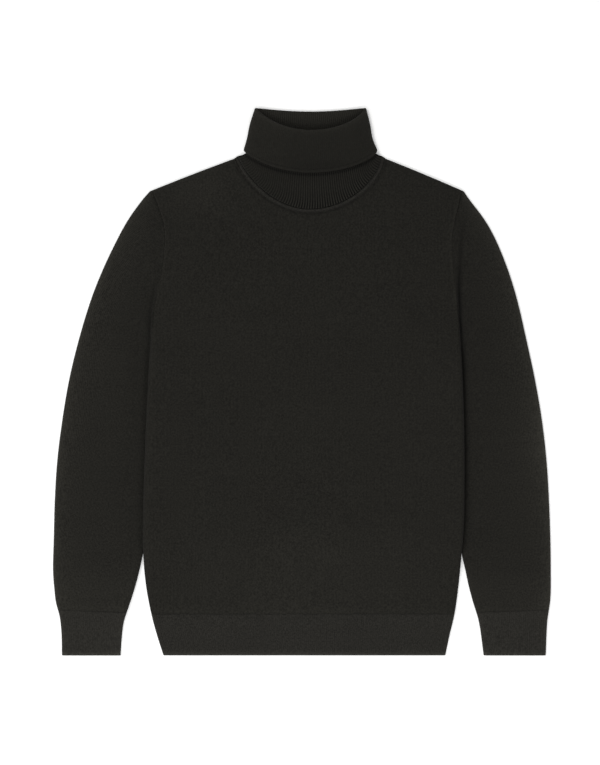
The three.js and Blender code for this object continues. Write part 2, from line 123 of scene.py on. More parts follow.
# ---------------------------------------------------------------- helpers
def smooth(t):
    t = np.clip(t, 0.0, 1.0)
    return t * t * (3 - 2 * t)


def lerp(a, b, t):
    return a + (b - a) * t


def curve(rows, column):
    """A smooth curve through one column of a table, as a function of the first."""
    rows = sorted(rows)
    ys = np.array([r[0] for r in rows], float)
    xs = np.array([r[column] for r in rows], float)
    m = np.empty_like(xs)
    m[1:-1] = (xs[2:] - xs[:-2]) / (ys[2:] - ys[:-2])
    m[0] = (xs[1] - xs[0]) / (ys[1] - ys[0])
    m[-1] = (xs[-1] - xs[-2]) / (ys[-1] - ys[-2])

    def f(y):
        y = np.asarray(y, float)
        i = np.clip(np.searchsorted(ys, y) - 1, 0, len(ys) - 2)
        h = ys[i + 1] - ys[i]
        t = (y - ys[i]) / h
        t2, t3 = t * t, t * t * t
        return ((2 * t3 - 3 * t2 + 1) * xs[i] + (t3 - 2 * t2 + t) * h * m[i]
                + (3 * t2 - 2 * t3) * xs[i + 1] + (t3 - t2) * h * m[i + 1])
    return f


body_left, body_right = curve(BODY_EDGE, 1), curve(BODY_EDGE, 2)


def quarter(d, r):
    """Profile of a rounded edge: 0 at the edge, 1 from distance r inward."""
    t = np.clip(d / r, 0, 1)
    return np.sqrt(np.maximum(0.0, 1 - (1 - t) ** 2))


def crease(x, y, x0, y0, x1, y1, width, depth, bend=0.0):
    """A soft trough (depth < 0) or ridge (depth > 0) along a bowed line that fades at both ends."""
    dx, dy = x1 - x0, y1 - y0
    n = math.hypot(dx, dy)
    t = ((x - x0) * dx + (y - y0) * dy) / (n * n)
    off = ((x - x0) * dy - (y - y0) * dx) / n - bend * (1 - (2 * np.clip(t, 0, 1) - 1) ** 2)
    fade = np.sin(np.pi * np.clip(t, 0, 1)) ** 0.8
    return depth * np.exp(-(off / width) ** 2) * fade * ((t > 0) & (t < 1))


def spread(a, b, step, fine=()):
    """Stations from a to b about step apart, with extra ones at the given distances from both ends."""
    n = max(2, int(round(abs(b - a) / step)))
    s = np.linspace(a, b, n + 1)
    sign = 1 if b > a else -1
    extra = [a + sign * f for f in fine] + [b - sign * f for f in fine]
    keep = [v for v in s if all(abs(v - e) > 0.25 * step for e in extra) or v in (s[0], s[-1])]
    return np.array(sorted(set(keep + extra), reverse=sign < 0))


def waves(x, y, seed, scale, count=9):
    """Broad, irregular undulation between -1 and 1, the same on every run."""
    rng = np.random.RandomState(seed)
    total = np.zeros(np.broadcast(x, y).shape)
    weight = 0.0
    for _ in range(count):
        angle, wave = rng.uniform(0, math.pi), scale * rng.uniform(0.6, 1.8)
        phase, w = rng.uniform(0, 2 * math.pi), rng.uniform(0.5, 1.0)
        total += w * np.sin(2 * math.pi * (x * math.cos(angle) + y * math.sin(angle)) / wave + phase)
        weight += w
    return total / weight * 1.8


# ---------------------------------------------------------------- meshes
def add_piece(name, A, B, closed, rect_a, rect_b, uv_a, uv_b, knit_a, knit_b, material,
              painted_light_a=0.0, painted_light_b=0.0):
    """A closed shell between two matching grids of points (mm). A is the outer or upper face.
    uv_a and uv_b are the grids' places in 0..1, set into rect_a and rect_b of the bake map; knit_a and
    knit_b are metres across the wales and along them. closed: the grid's columns go round a tube.
    The last two arguments are painted light and shade for each point of face A and face B: how much lighter (painted
    highlight) or darker (painted shade) the cloth's own colour is made there, as a share of it."""
    R, C = A.shape[:2]
    verts = np.concatenate([A.reshape(-1, 3), B.reshape(-1, 3)]) * MM
    J = C if closed else C - 1
    ii, jj = np.meshgrid(np.arange(R - 1), np.arange(J), indexing="ij")
    ii, jj = ii.ravel(), jj.ravel()
    jn = (jj + 1) % C
    ja = jj + 1
    faces, uvs, knits = [], [], []

    def place(grid, rect):
        lo, hi = grid.reshape(-1, 2).min(0), grid.reshape(-1, 2).max(0)
        g = (grid - lo) / np.maximum(hi - lo, 1e-9)
        return np.array(rect[:2]) + g * np.array([rect[2] - rect[0], rect[3] - rect[1]])

    UA, UB = place(uv_a, rect_a), place(uv_b, rect_b)
    quads_a = np.stack([ii * C + jj, ii * C + jn, (ii + 1) * C + jn, (ii + 1) * C + jj], 1)
    corner = [(ii, jj), (ii, ja), (ii + 1, ja), (ii + 1, jj)]
    faces.append(quads_a)
    uvs.append(np.stack([UA[i, j] for i, j in corner], 1))
    knits.append(np.stack([knit_a[i, j] for i, j in corner], 1))
    back = [corner[3], corner[2], corner[1], corner[0]]
    faces.append(R * C + quads_a[:, ::-1])
    uvs.append(np.stack([UB[i, j] for i, j in back], 1))
    knits.append(np.stack([knit_b[i, j] for i, j in back], 1))

    strip = [0]

    def rim(a0, a1, b0, b1, k0, k1):
        n = len(a0)
        y0 = 0.985 - 0.008 * strip[0]
        strip[0] += 1
        s0 = 0.74 + 0.25 * np.arange(n) / n
        s1 = 0.74 + 0.25 * (np.arange(n) + 1) / n
        faces.append(np.stack([a0, b0, b1, a1], 1))
        uvs.append(np.stack([np.stack([s0, np.full(n, y0)], 1), np.stack([s0, np.full(n, y0 + .004)], 1),
                             np.stack([s1, np.full(n, y0 + .004)], 1), np.stack([s1, np.full(n, y0)], 1)], 1))
        knits.append(np.stack([k0, k0 + [0, .0008], k1 + [0, .0008], k1], 1))

    j0 = np.arange(J)
    j1 = (j0 + 1) % C
    S = R * C
    rim(j0 + 0, j1 + 0, S + j0, S + j1, knit_a[0, j0], knit_a[0, j0 + 1])
    e = (R - 1) * C
    rim(e + j1, e + j0, S + e + j1, S + e + j0, knit_a[R - 1, j0 + 1], knit_a[R - 1, j0])
    if not closed:
        i0 = np.arange(R - 1)
        rim((i0 + 1) * C, i0 * C, S + (i0 + 1) * C, S + i0 * C, knit_a[i0 + 1, 0], knit_a[i0, 0])
        rim(i0 * C + C - 1, (i0 + 1) * C + C - 1, S + i0 * C + C - 1, S + (i0 + 1) * C + C - 1,
            knit_a[i0, C - 1], knit_a[i0 + 1, C - 1])
    F = np.concatenate(faces).astype(np.int32)
    UV = np.concatenate(uvs).reshape(-1, 2)
    KN = np.concatenate(knits).reshape(-1, 2)
    p = verts[F]
    vol = np.einsum("ij,ij->i", p[:, 0], np.cross(p[:, 1], p[:, 2])).sum() + np.einsum(
        "ij,ij->i", p[:, 0], np.cross(p[:, 2], p[:, 3])).sum()
    if vol < 0:
        F = F[:, ::-1].copy()
        UV = UV.reshape(-1, 4, 2)[:, ::-1].reshape(-1, 2)
        KN = KN.reshape(-1, 4, 2)[:, ::-1].reshape(-1, 2)
    me = bpy.data.meshes.new(name)
    me.vertices.add(len(verts))
    me.vertices.foreach_set("co", verts.astype(np.float32).ravel())
    me.loops.add(F.size)
    me.loops.foreach_set("vertex_index", F.ravel())
    me.polygons.add(len(F))
    me.polygons.foreach_set("loop_start", np.arange(0, F.size, 4, dtype=np.int32))
    me.polygons.foreach_set("use_smooth", np.ones(len(F), bool))
    for label, data in (("OFBake", UV), ("Knit", KN)):
        layer = me.uv_layers.new(name=label)
        layer.data.foreach_set("uv", data.astype(np.float32).ravel())
    me.update(calc_edges=True)
    me.validate()
    # painted light and shade per point, kept as a point attribute that lightens or darkens the cloth colour
    painted_light_shade = np.concatenate([(np.zeros((R, C)) + n).ravel() for n in (painted_light_a, painted_light_b)])
    me.attributes.new("PaintedLightShade", "FLOAT", "POINT").data.foreach_set("value", painted_light_shade.astype(np.float32))
    ob = bpy.data.objects.new(name, me)
    scene.collection.objects.link(ob)
    me.materials.append(material)
    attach(ob, "root")
    return ob


# ---------------------------------------------------------------- materials
def node_tools(mat):
    nt = mat.node_tree

    def new(kind, **props):
        n = nt.nodes.new(kind)
        for k, v in props.items():
            setattr(n, k, v)
        return n

    def put(socket, value):
        if isinstance(value, bpy.types.NodeSocket):
            nt.links.new(value, socket)
        else:
            socket.default_value = value

    def math_(op, a, b=None, c=None):
        n = new("ShaderNodeMath", operation=op)
        put(n.inputs[0], a)
        if b is not None:
            put(n.inputs[1], b)
        if c is not None:
            put(n.inputs[2], c)
        return n.outputs[0]

    def ramp(value, lo, hi, out_lo=0.0, out_hi=1.0):
        n = new("ShaderNodeMapRange", clamp=True)
        put(n.inputs[0], value)
        for k, v in zip((1, 2, 3, 4), (lo, hi, out_lo, out_hi)):
            n.inputs[k].default_value = v
        return n.outputs[0]
    return nt, new, put, math_, ramp


def wool(name, base, kind):
    """Fine wool. kind plain: rows of small V stitches. kind rib: the same stitches, in stretched columns."""
    mat = bpy.data.materials.new(name)
    mat.use_nodes = True
    nt, new, put, math_, ramp = node_tools(mat)
    bsdf = nt.nodes["Principled BSDF"]
    uv = new("ShaderNodeUVMap", uv_map="Knit").outputs[0]
    obj = new("ShaderNodeTexCoord").outputs["Object"]
    sep = new("ShaderNodeSeparateXYZ")
    put(sep.inputs[0], uv)
    wale, course = (WALE, COURSE) if kind == "plain" else (1.45, 1.4)
    # yarn wanders a little, so rows are never ruled lines
    wander = new("ShaderNodeTexNoise")
    put(wander.inputs["Vector"], obj)
    wander.inputs["Scale"].default_value = 95.0
    wander.inputs["Detail"].default_value = 2.0
    drift = math_("MULTIPLY_ADD", wander.outputs[0], 0.7, -0.35)
    across = math_("ADD", math_("MULTIPLY", sep.outputs[0], 1000.0 / wale), drift)
    along = math_("ADD", math_("MULTIPLY", sep.outputs[1], 1000.0 / course), drift)
    leg = math_("MULTIPLY", math_("ABSOLUTE", math_("SUBTRACT", math_("FRACT", across), 0.5)), 2.0)
    loop_ = math_("SINE", math_("MULTIPLY", math_("ADD", along, math_("MULTIPLY", leg, 0.85)), 2 * math.pi))
    ridge = math_("SUBTRACT", 1.0, math_("MULTIPLY", leg, leg))
    height = math_("ADD", math_("MULTIPLY", ridge, 0.55), math_("MULTIPLY_ADD", loop_, 0.225, 0.225))
    fibre = new("ShaderNodeTexNoise")
    put(fibre.inputs["Vector"], obj)
    fibre.inputs["Scale"].default_value = 1400.0
    fibre.inputs["Detail"].default_value = 3.0
    fibre.inputs["Roughness"].default_value = 0.65
    cloud = new("ShaderNodeTexNoise")
    put(cloud.inputs["Vector"], obj)
    cloud.inputs["Scale"].default_value = 9.0
    cloud.inputs["Detail"].default_value = 3.0
    bands = new("ShaderNodeTexNoise")                      # faint uneven rows, as yarn lots knit up
    stretch = new("ShaderNodeMapping")
    put(stretch.inputs[0], obj)
    stretch.inputs["Scale"].default_value = (5.0, 90.0, 5.0)
    put(bands.inputs["Vector"], stretch.outputs[0])
    bands.inputs["Scale"].default_value = 1.0
    bands.inputs["Detail"].default_value = 2.0
    heather = new("ShaderNodeTexNoise")                    # fibres of slightly different shade
    put(heather.inputs["Vector"], obj)
    heather.inputs["Scale"].default_value = 450.0
    heather.inputs["Detail"].default_value = 2.0
    # point attribute of painted light and shade: painted highlights on ridges, edges and lit zones, painted shade in
    # furrows, creases and under edges
    painted_light_shade = new("ShaderNodeAttribute", attribute_name="PaintedLightShade", attribute_type="GEOMETRY").outputs["Fac"]

    def part(value, share):
        return math_("MULTIPLY_ADD", ramp(value, 0.3, 0.7), share, -0.5 * share)
    quiet = 0.45 if kind == "collar" else 1.0
    # raised stitch loops painted lighter and the gaps between them darker: painted shade at stitch scale; fibre,
    # heather, cloud and bands add the yarn's own uneven tone
    shade = math_("MULTIPLY_ADD", height, 0.80 * quiet, 1.0 - 0.80 * quiet * 0.45)
    for value, share in ((fibre.outputs[0], 0.30 * quiet), (heather.outputs[0], 0.80 * quiet),
                         (cloud.outputs[0], 0.10), (bands.outputs[0], 0.07)):
        shade = math_("ADD", shade, part(value, share))
    # the cloth colour is multiplied by one plus the painted light and shade
    shade = math_("MULTIPLY", shade, math_("ADD", painted_light_shade, 1.0))
    tint = new("ShaderNodeVectorMath", operation="SCALE")
    tint.inputs[0].default_value = base
    put(tint.inputs["Scale"], shade)
    put(bsdf.inputs["Base Color"], tint.outputs[0])
    put(bsdf.inputs["Roughness"], ramp(fibre.outputs[0], 0.3, 0.7, 0.86, 0.98))
    bsdf.inputs["Specular IOR Level"].default_value = 0.08
    bsdf.inputs["Sheen Weight"].default_value = 0.045
    bsdf.inputs["Sheen Roughness"].default_value = 0.55
    bsdf.inputs["Sheen Tint"].default_value = (1.0, 0.97, 0.92, 1.0)
    fuzz = new("ShaderNodeBump")
    fuzz.inputs["Strength"].default_value = 0.35
    fuzz.inputs["Distance"].default_value = 0.00025
    put(fuzz.inputs["Height"], fibre.outputs[0])
    bump = new("ShaderNodeBump")
    bump.inputs["Strength"].default_value = 0.75 if kind == "plain" else 0.55
    bump.inputs["Distance"].default_value = 0.00045
    put(bump.inputs["Height"], height)
    put(bump.inputs["Normal"], fuzz.outputs[0])
    put(bsdf.inputs["Normal"], bump.outputs[0])
    return mat


WOOL = np.array([0.0104, 0.0099, 0.0081])
plain_mat = wool("plain_knit", tuple(WOOL), "plain")
# the rib material is a third lighter than the plain knit: painted light, for the brighter bands at the bottom and the
# bright neck seam cord
rib_mat_painted_lighter = wool("rib_knit", tuple(WOOL * (1.33, 1.33, 1.385)), "rib")
collar_mat = wool("collar_rib", tuple(WOOL * 0.98), "collar")

# ---------------------------------------------------------------- body
SHEETS = []


def neck_curve(ring, q, front):
    left, right, side, yf, yb = ring[:5]
    power = np.where(front, np.where(q < 0, NECK_POWER[0], NECK_POWER[1]), NAPE_POWER)
    rnd = np.maximum(0, 1 - q * q) ** power
    x = lerp(left, right, (q + 1) / 2)
    y = side + (np.where(front, yf, yb) - side) * rnd
    return x, y


off = 0.4 - 1.2                      # the panels run a little under the raised seam
r0 = SEAM_RINGS[0]
NECKLINE = (r0[0] - off, r0[1] + off, r0[2] - 0.4, r0[3] - off, r0[4] - off)
CORNER_L, CORNER_R = (r0[0] - 0.4, r0[2] - 0.4), (r0[1] + 0.4, r0[2] - 0.4)
TIP_L, TIP_R = (-208.5, SHOULDER_TIP), (222.6, SHOULDER_TIP)


def shoulder_y(x):
    """Height of the shoulder line over x; the neckline's corner height between the two shoulders."""
    fl = np.clip((x - TIP_L[0]) / (CORNER_L[0] - TIP_L[0]), 0, 1)
    fr = np.clip((x - TIP_R[0]) / (CORNER_R[0] - TIP_R[0]), 0, 1)
    yl = lerp(TIP_L[1], CORNER_L[1], fl) + SHOULDER_BULGE * np.sin(np.pi * fl)
    yr = lerp(TIP_R[1], CORNER_R[1], fr) + SHOULDER_BULGE * np.sin(np.pi * fr)
    return np.where(x < CORNER_L[0], yl, np.where(x > CORNER_R[0], yr, 400.0))


def top_boundary(front, step):
    fine = (0.35, 1.0, 2.0, 3.4, 5.4)
    xs = [v for v in spread(TIP_L[0], CORNER_L[0], step, fine) if v < CORNER_L[0] - 0.2]
    left = [(x, float(shoulder_y(np.float64(x)))) for x in xs]
    q = np.linspace(-1, 1, 2001)
    nx, ny = neck_curve(NECKLINE, q, front)
    nx[0], ny[0], nx[-1], ny[-1] = CORNER_L[0], CORNER_L[1], CORNER_R[0], CORNER_R[1]
    s = np.concatenate([[0], np.cumsum(np.hypot(np.diff(nx), np.diff(ny)))])
    n = int(s[-1] / (step * (1.15 if front else 0.95)))
    st = np.linspace(0, s[-1], n + 1)
    neck = list(zip(np.interp(st, s, nx), np.interp(st, s, ny)))
    xs = [v for v in spread(CORNER_R[0], TIP_R[0], step, fine) if v > CORNER_R[0] + 0.2]
    right = [(x, float(shoulder_y(np.float64(x)))) for x in xs]
    return np.array(left + neck + right)


def neck_distance(x, y):
    """Distance from the front neckline, for points near it."""
    x, y = np.broadcast_arrays(x, y)
    nx, ny = neck_curve(NECKLINE, np.linspace(-1, 1, 500), True)
    out = np.full(x.shape, 99.0)
    near = (y > NECKLINE[3] - 16) & (x > NECKLINE[0] - 16) & (x < NECKLINE[1] + 16)
    out[near] = np.hypot(x[near][:, None] - nx[None], y[near][:, None] - ny[None]).min(1)
    return out


def tuck_lift(x, y, d, span):
    """How far the cloth is lifted over the sleeve strip under it; it comes down over span, in from there."""
    along = 38 + 0.9 * (span - 28)
    return (TUCK_LIFT * smooth((40 + span - d) / span) * smooth((ARMHOLE_FOOT + 4 + 0.35 * (span - 28) - y) / along)
            * smooth((y + 266 + 0.15 * (span - 28)) / (44 + 0.3 * (span - 28))))


def body_surfaces(front, x, y, bottom_seam=True):
    """Upper and lower face of a body panel at points x, y."""
    xl, xr = body_left(y), body_right(y)
    d = np.minimum(x - xl, xr - x)
    left_side = (x - xl) < (xr - x)
    s = np.minimum(shoulder_y(x) - y, 80) * 0.94
    near_corner = np.minimum(np.hypot(x - CORNER_L[0], y - CORNER_L[1]), np.hypot(x - CORNER_R[0], y - CORNER_R[1]))
    s = np.where((x > CORNER_L[0]) & (x < CORNER_R[0]), np.maximum(near_corner, 0), s)
    s = np.maximum(s, 0)
    d = np.maximum(d, 0)
    low = tuck_lift(x, y, d, 28.0)
    over = np.maximum(tuck_lift(x, y, d, 135.0), low)
    open_side = smooth((y - ARMHOLE_FOOT + 6) / 30)           # 1 beside the armhole, 0 beside the side seam
    seam_z = (over if front else low) + WALL + 0.15
    # air between the layers: settles to the middle, fuller near the folded side edges
    full = BODY_GAP + 1.2 * np.exp(-((d - 16) / 16) ** 2) * (1 - open_side) - 0.5 * smooth((d - 50) / 90)
    hem_settle = lerp(0.45, 1.0, smooth((y - RIB_LINE) / 42))
    gap_side = lerp(quarter(d, 13), lerp(ARMHOLE_GAP / BODY_GAP, 1, smooth(d / 26)), open_side)
    gap = 0.15 + (full - 0.15) * gap_side * quarter(s, 12) * hem_settle
    round_side = lerp(quarter(d, 3.6), 1.0, open_side)
    thick = WALL * np.minimum(round_side, quarter(s, 3.0))
    if not front:
        hollow = (crease(x, y, -196, 70, -96, 118, 12, 0.95, -8) + crease(x, y, 206, 96, 120, 132, 11, 0.80, 6)
                  + crease(x, y, -60, 300, -20, 150, 16, 0.55, 8) + crease(x, y, 150, 262, 70, 196, 13, 0.60, -5)
                  + crease(x, y, -176, -60, -120, -230, 15, 0.75, 9) + crease(x, y, 180, -70, 146, -246, 17, 0.70, -10)
                  + crease(x, y, 8, -40, 44, -190, 14, 0.45, 7) + crease(x, y, -90, -306, -44, -214, 13, 0.50, -5)
                  + crease(x, y, 98, 20, 30, 64, 15, 0.40, 4))
        hollow = hollow * quarter(d, 34) * quarter(s, 26) * smooth((y - RIB_LINE - 4) / 26)
        hollow += 0.16 * (1 + waves(x, y, 17, 60.0)) * quarter(d, 30) * quarter(s, 26) * smooth((y - RIB_LINE - 4) / 26)
        upper = low + WALL + 0 * x + hollow
        lower = upper - np.maximum(thick, 0.12)
        return upper, lower
    z = seam_z + gap + thick
    relief = 0.55 * waves(x, y, 3, 210.0) * smooth(d / 60) * smooth(s / 60)
    relief += 0.10 * waves(x, y, 5, 46.0) * smooth(d / 20) * smooth(s / 20)
    # soft folds, each at its own place and size: drag lines from the underarms, slack at the waist
    folds = (crease(x, y, -205, 78, -128, 112, 9, -0.85, 6) + crease(x, y, -208, 52, -120, 48, 11, -0.55, -5)
             + crease(x, y, -200, 96, -140, 150, 8, 0.40, 5) + crease(x, y, 216, 92, 138, 126, 10, -0.75, -7)
             + crease(x, y, 219, 60, 150, 40, 9, -0.5, 4) + crease(x, y, 213, 120, 160, 170, 8, 0.35, -4)
             + crease(x, y, -206, -60, -150, -250, 15, -0.5, 10) + crease(x, y, 214, -90, 168, -262, 16, -0.55, -12)
             + crease(x, y, -120, -298, -60, -210, 14, 0.35, 6) + crease(x, y, 96, -300, 60, -190, 15, 0.3, -5)
             + crease(x, y, -150, 250, -60, 196, 14, -0.35, 6) + crease(x, y, 166, 250, 84, 190, 13, -0.3, -6))
    relief += folds * quarter(d, 10)
    # raised seam along the armhole, with a thin groove on the sleeve's side
    arm = smooth((y - 92) / 26)
    rid = 0.85 * np.exp(-((d - 1.0) / 2.0) ** 2) - 0.12 * np.exp(-((d - 6.5) / 1.8) ** 2)
    relief += arm * rid * quarter(s, 6)
    relief -= 0.40 * np.exp(-((neck_distance(x, y) - 2.6) / 1.5) ** 2)
    # rolled side edge over the sleeve
    relief += (1 - arm) * 0.55 * np.exp(-((d - 5.5) / 3.2) ** 2) * smooth((y + 322) / 60)
    # the knit is drawn in by the rib: small gathers that run out upward, and a furrow at the rib line
    g = y - RIB_LINE
    gather = np.sin(2 * np.pi * (x + 3.0 * np.sin(x / 31.0)) / 13.5) + 0.6 * np.sin(2 * np.pi * x / 8.3 + 1.1)
    relief += 0.13 * gather * np.exp(-np.maximum(g, 0) / 17.0) * quarter(d, 10)
    relief += 0.5 * np.exp(-((g - 7) / 6.0) ** 2)
    relief -= 0.55 * np.exp(-(g / 1.2) ** 2)
    z = z + relief
    lower = z - np.maximum(thick, 0.12)
    lower = np.maximum(lower, seam_z - 0.1)
    return np.maximum(z, lower + 0.1), lower


# Painted light and shade on a body panel: painted highlight on the armhole seam ridge and along the shoulder edge,
# painted shade at the side edge over the sleeve and in the groove beside the neckline, a painted pool of light near the
# shoulder at -X, lighter towards the hem, and painted highlight and shade at the rib line.
def body_painted_light_shade(front, x, y):
    xl, xr = body_left(y), body_right(y)
    d = np.maximum(np.minimum(x - xl, xr - x), 0)
    arm = smooth((y - 92) / 26)
    n = arm * 0.22 * np.exp(-((d - 0.8) / 2.0) ** 2)
    n += (1 - arm) * (0.03 * np.exp(-((d - 5.0) / 4.0) ** 2) - 0.35 * np.exp(-(d / 1.2) ** 2))
    n += 0.36 * np.exp(-(np.maximum(shoulder_y(x) - y, 0) / 2.2) ** 2)
    if front:
        n -= 0.34 * np.exp(-((neck_distance(x, y) - 2.7) / 1.5) ** 2)
    n += 0.21 * np.exp(-((x + 145) / 50.0) ** 2 - ((y - 268) / 30.0) ** 2)
    n += (0.05 + 0.14 * np.exp(-((x + 10) / 120.0) ** 2)) * smooth((-180 - y) / 75)
    g = y - RIB_LINE
    n += 0.10 * np.exp(-((g - 4.5) / 4.0) ** 2) - 0.22 * np.exp(-(g / 0.9) ** 2)
    return n


def body_panel(front):
    step = 2.95
    top = top_boundary(front, step)
    u = (top[:, 0] - TIP_L[0]) / (TIP_R[0] - TIP_L[0])
    rows = spread(RIB_LINE - OVERLAP, SHOULDER_TIP, step, (0.5, 1.2, 2.1, 3.3))
    v = (rows - rows[0]) / (rows[-1] - rows[0])
    xl = body_left(rows)[:, None]
    xr = body_right(rows)[:, None]
    arm = smooth((rows - ARMHOLE_FOOT) / 20)[:, None]
    X = lerp(xl - OVERLAP * arm, xr + OVERLAP * arm, u[None])
    Y = rows[:, None] + v[:, None] * (top[:, 1] - SHOULDER_TIP)[None]
    up, lo = body_surfaces(front, X, Y)
    A, B = np.stack([X, Y, up], 2), np.stack([X, Y, lo], 2)
    flat = np.stack([X, Y], 2)
    knit = flat * MM
    big, small = (0.005, 0.01, 0.70, 0.99), (0.72, 0.01, 0.99, 0.39)
    name = "front_panel" if front else "back_panel"
    # painted light and shade on the panel, the same on both faces
    painted_light_shade = body_painted_light_shade(front, X, Y)
    ob = add_piece(name, A, B, False, big if front else small, small if front else big, flat, flat, knit, knit,
                   plain_mat, painted_light_shade, painted_light_shade)
    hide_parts("front" if front else "back")
    return ob


def rib_wave(t):
    """Cross-section of one knitted rib and its furrow, -1 to 1, with a round back and a narrow furrow."""
    c = np.cos(2 * np.pi * t)
    return np.sign(c) * np.abs(c) ** 0.8 * 0.5 + 0.5 * c + 0.18 * np.cos(4 * np.pi * t)


def hem_band(front):
    n = int(round(423 / BAND_RIB * 5))
    core = np.linspace(0.006, 0.994, n)
    u = np.concatenate([[0, 0.0009, 0.0022, 0.0040], core, [0.9960, 0.9978, 0.9991, 1]])
    rows = np.concatenate([[RIB_LINE + OVERLAP, -325.6, -326.4, -327.6], np.linspace(-330, -378, 17),
                           [-380.2, -381.3, -382.0, -382.5, BAND_END]])
    xl, xr = body_left(rows)[:, None], body_right(rows)[:, None]
    X = lerp(xl, xr, u[None])
    Y = np.repeat(rows[:, None], X.shape[1], 1)
    d = np.minimum(X - xl, xr - X)
    e = Y - BAND_END
    low = 0 * X
    seam_z = WALL + 0.15
    settle = lerp(0.35, 1.0, smooth(e / 55))
    gap = 0.15 + (1.7 * settle - 0.15) * quarter(d, 12)
    edge = np.minimum(quarter(d, 3.2), lerp(0.35, 1, quarter(e, 1.5)))
    if front:
        ribs = rib_wave(u * 423 / BAND_RIB)[None]
        fade = quarter(d, 8) * smooth((e + 0.2) / 3.0) * smooth((RIB_LINE - Y + 0.6) / 2.6)
        z = seam_z + gap + WALL * edge + 0.20 * ribs * fade * lerp(1.0, 0.75, smooth((e) / 50))
        z += 0.28 * waves(X, Y, 11, 120.0) * quarter(d, 20)
        z += 0.35 * np.exp(-((e - 2.6) / 1.8) ** 2)                       # cast-off edge, a slight roll
        z -= 0.55 * np.exp(-((RIB_LINE - Y) / 1.2) ** 2)
        up, lo = z, np.maximum(z - np.maximum(WALL * edge, 0.12), seam_z - 0.08)
    else:
        up = low + WALL
        ribs = rib_wave(u * 423 / BAND_RIB)[None] * quarter(d, 8) * smooth((e + 0.2) / 3.0)
        lo = up - np.maximum(WALL * edge, 0.12) + 0.16 * (1 + ribs) * (edge > 0.9)
    A, B = np.stack([X, Y, up], 2), np.stack([X, Y, lo], 2)
    flat = np.stack([X, Y], 2)
    big, small = (0.005, 0.01, 0.995, 0.45), (0.005, 0.50, 0.60, 0.70)
    name = "hem_rib_front_band" if front else "hem_rib_back_band"
    # painted light and shade: slightly lighter overall, a painted highlight along the bottom edge and the side edges,
    # rib backs lighter and furrows darker, painted shade in the furrow at the rib line
    painted_light_shade = 0.04 + 0.78 * np.exp(-(e / 4.2) ** 2) + 0.08 * ribs - 0.18 * np.exp(-((RIB_LINE - Y) / 0.9) ** 2)
    painted_light_shade = painted_light_shade + 0.20 * np.exp(-(d / 4.0) ** 2)
    ob = add_piece(name, A, B, False, big if front else small, small if front else big, flat, flat, flat * MM, flat * MM,
                   rib_mat_painted_lighter, painted_light_shade, painted_light_shade)
    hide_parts("hem_rib_front" if front else "hem_rib_back")
    return ob


# ---------------------------------------------------------------- sleeves and cuffs
def tube_faces(X, Y, upper, lower, inset):
    """Outer and inner rings of a flattened tube from plan grids (rows by columns across) and both heights."""
    R, C = X.shape
    fwd, rev = np.arange(C), np.arange(C - 2, 0, -1)

    def ring(x, y, up, lo):
        return np.stack([np.concatenate([x[:, fwd], x[:, rev]], 1), np.concatenate([y[:, fwd], y[:, rev]], 1),
                         np.concatenate([up[:, fwd], lo[:, rev]], 1)], 2)
    A = ring(X, Y, upper, lower)
    x0, x1, y0, y1 = X[:, :1], X[:, -1:], Y[:, :1], Y[:, -1:]
    w = np.hypot(x1 - x0, y1 - y0)
    s = ((X - x0) * (x1 - x0) + (Y - y0) * (y1 - y0)) / (w * w)
    squeeze = (w - 2 * inset) / w
    shift = (lerp(inset / w, 1 - inset / w, s) - s)
    Xi, Yi = X + shift * (x1 - x0), Y + shift * (y1 - y0)
    mid = (upper + lower) / 2
    half = np.maximum((upper - lower) / 2 - WALL, 0.12 * squeeze)
    B = ring(Xi, Yi, mid + half, mid - half)
    return A, B


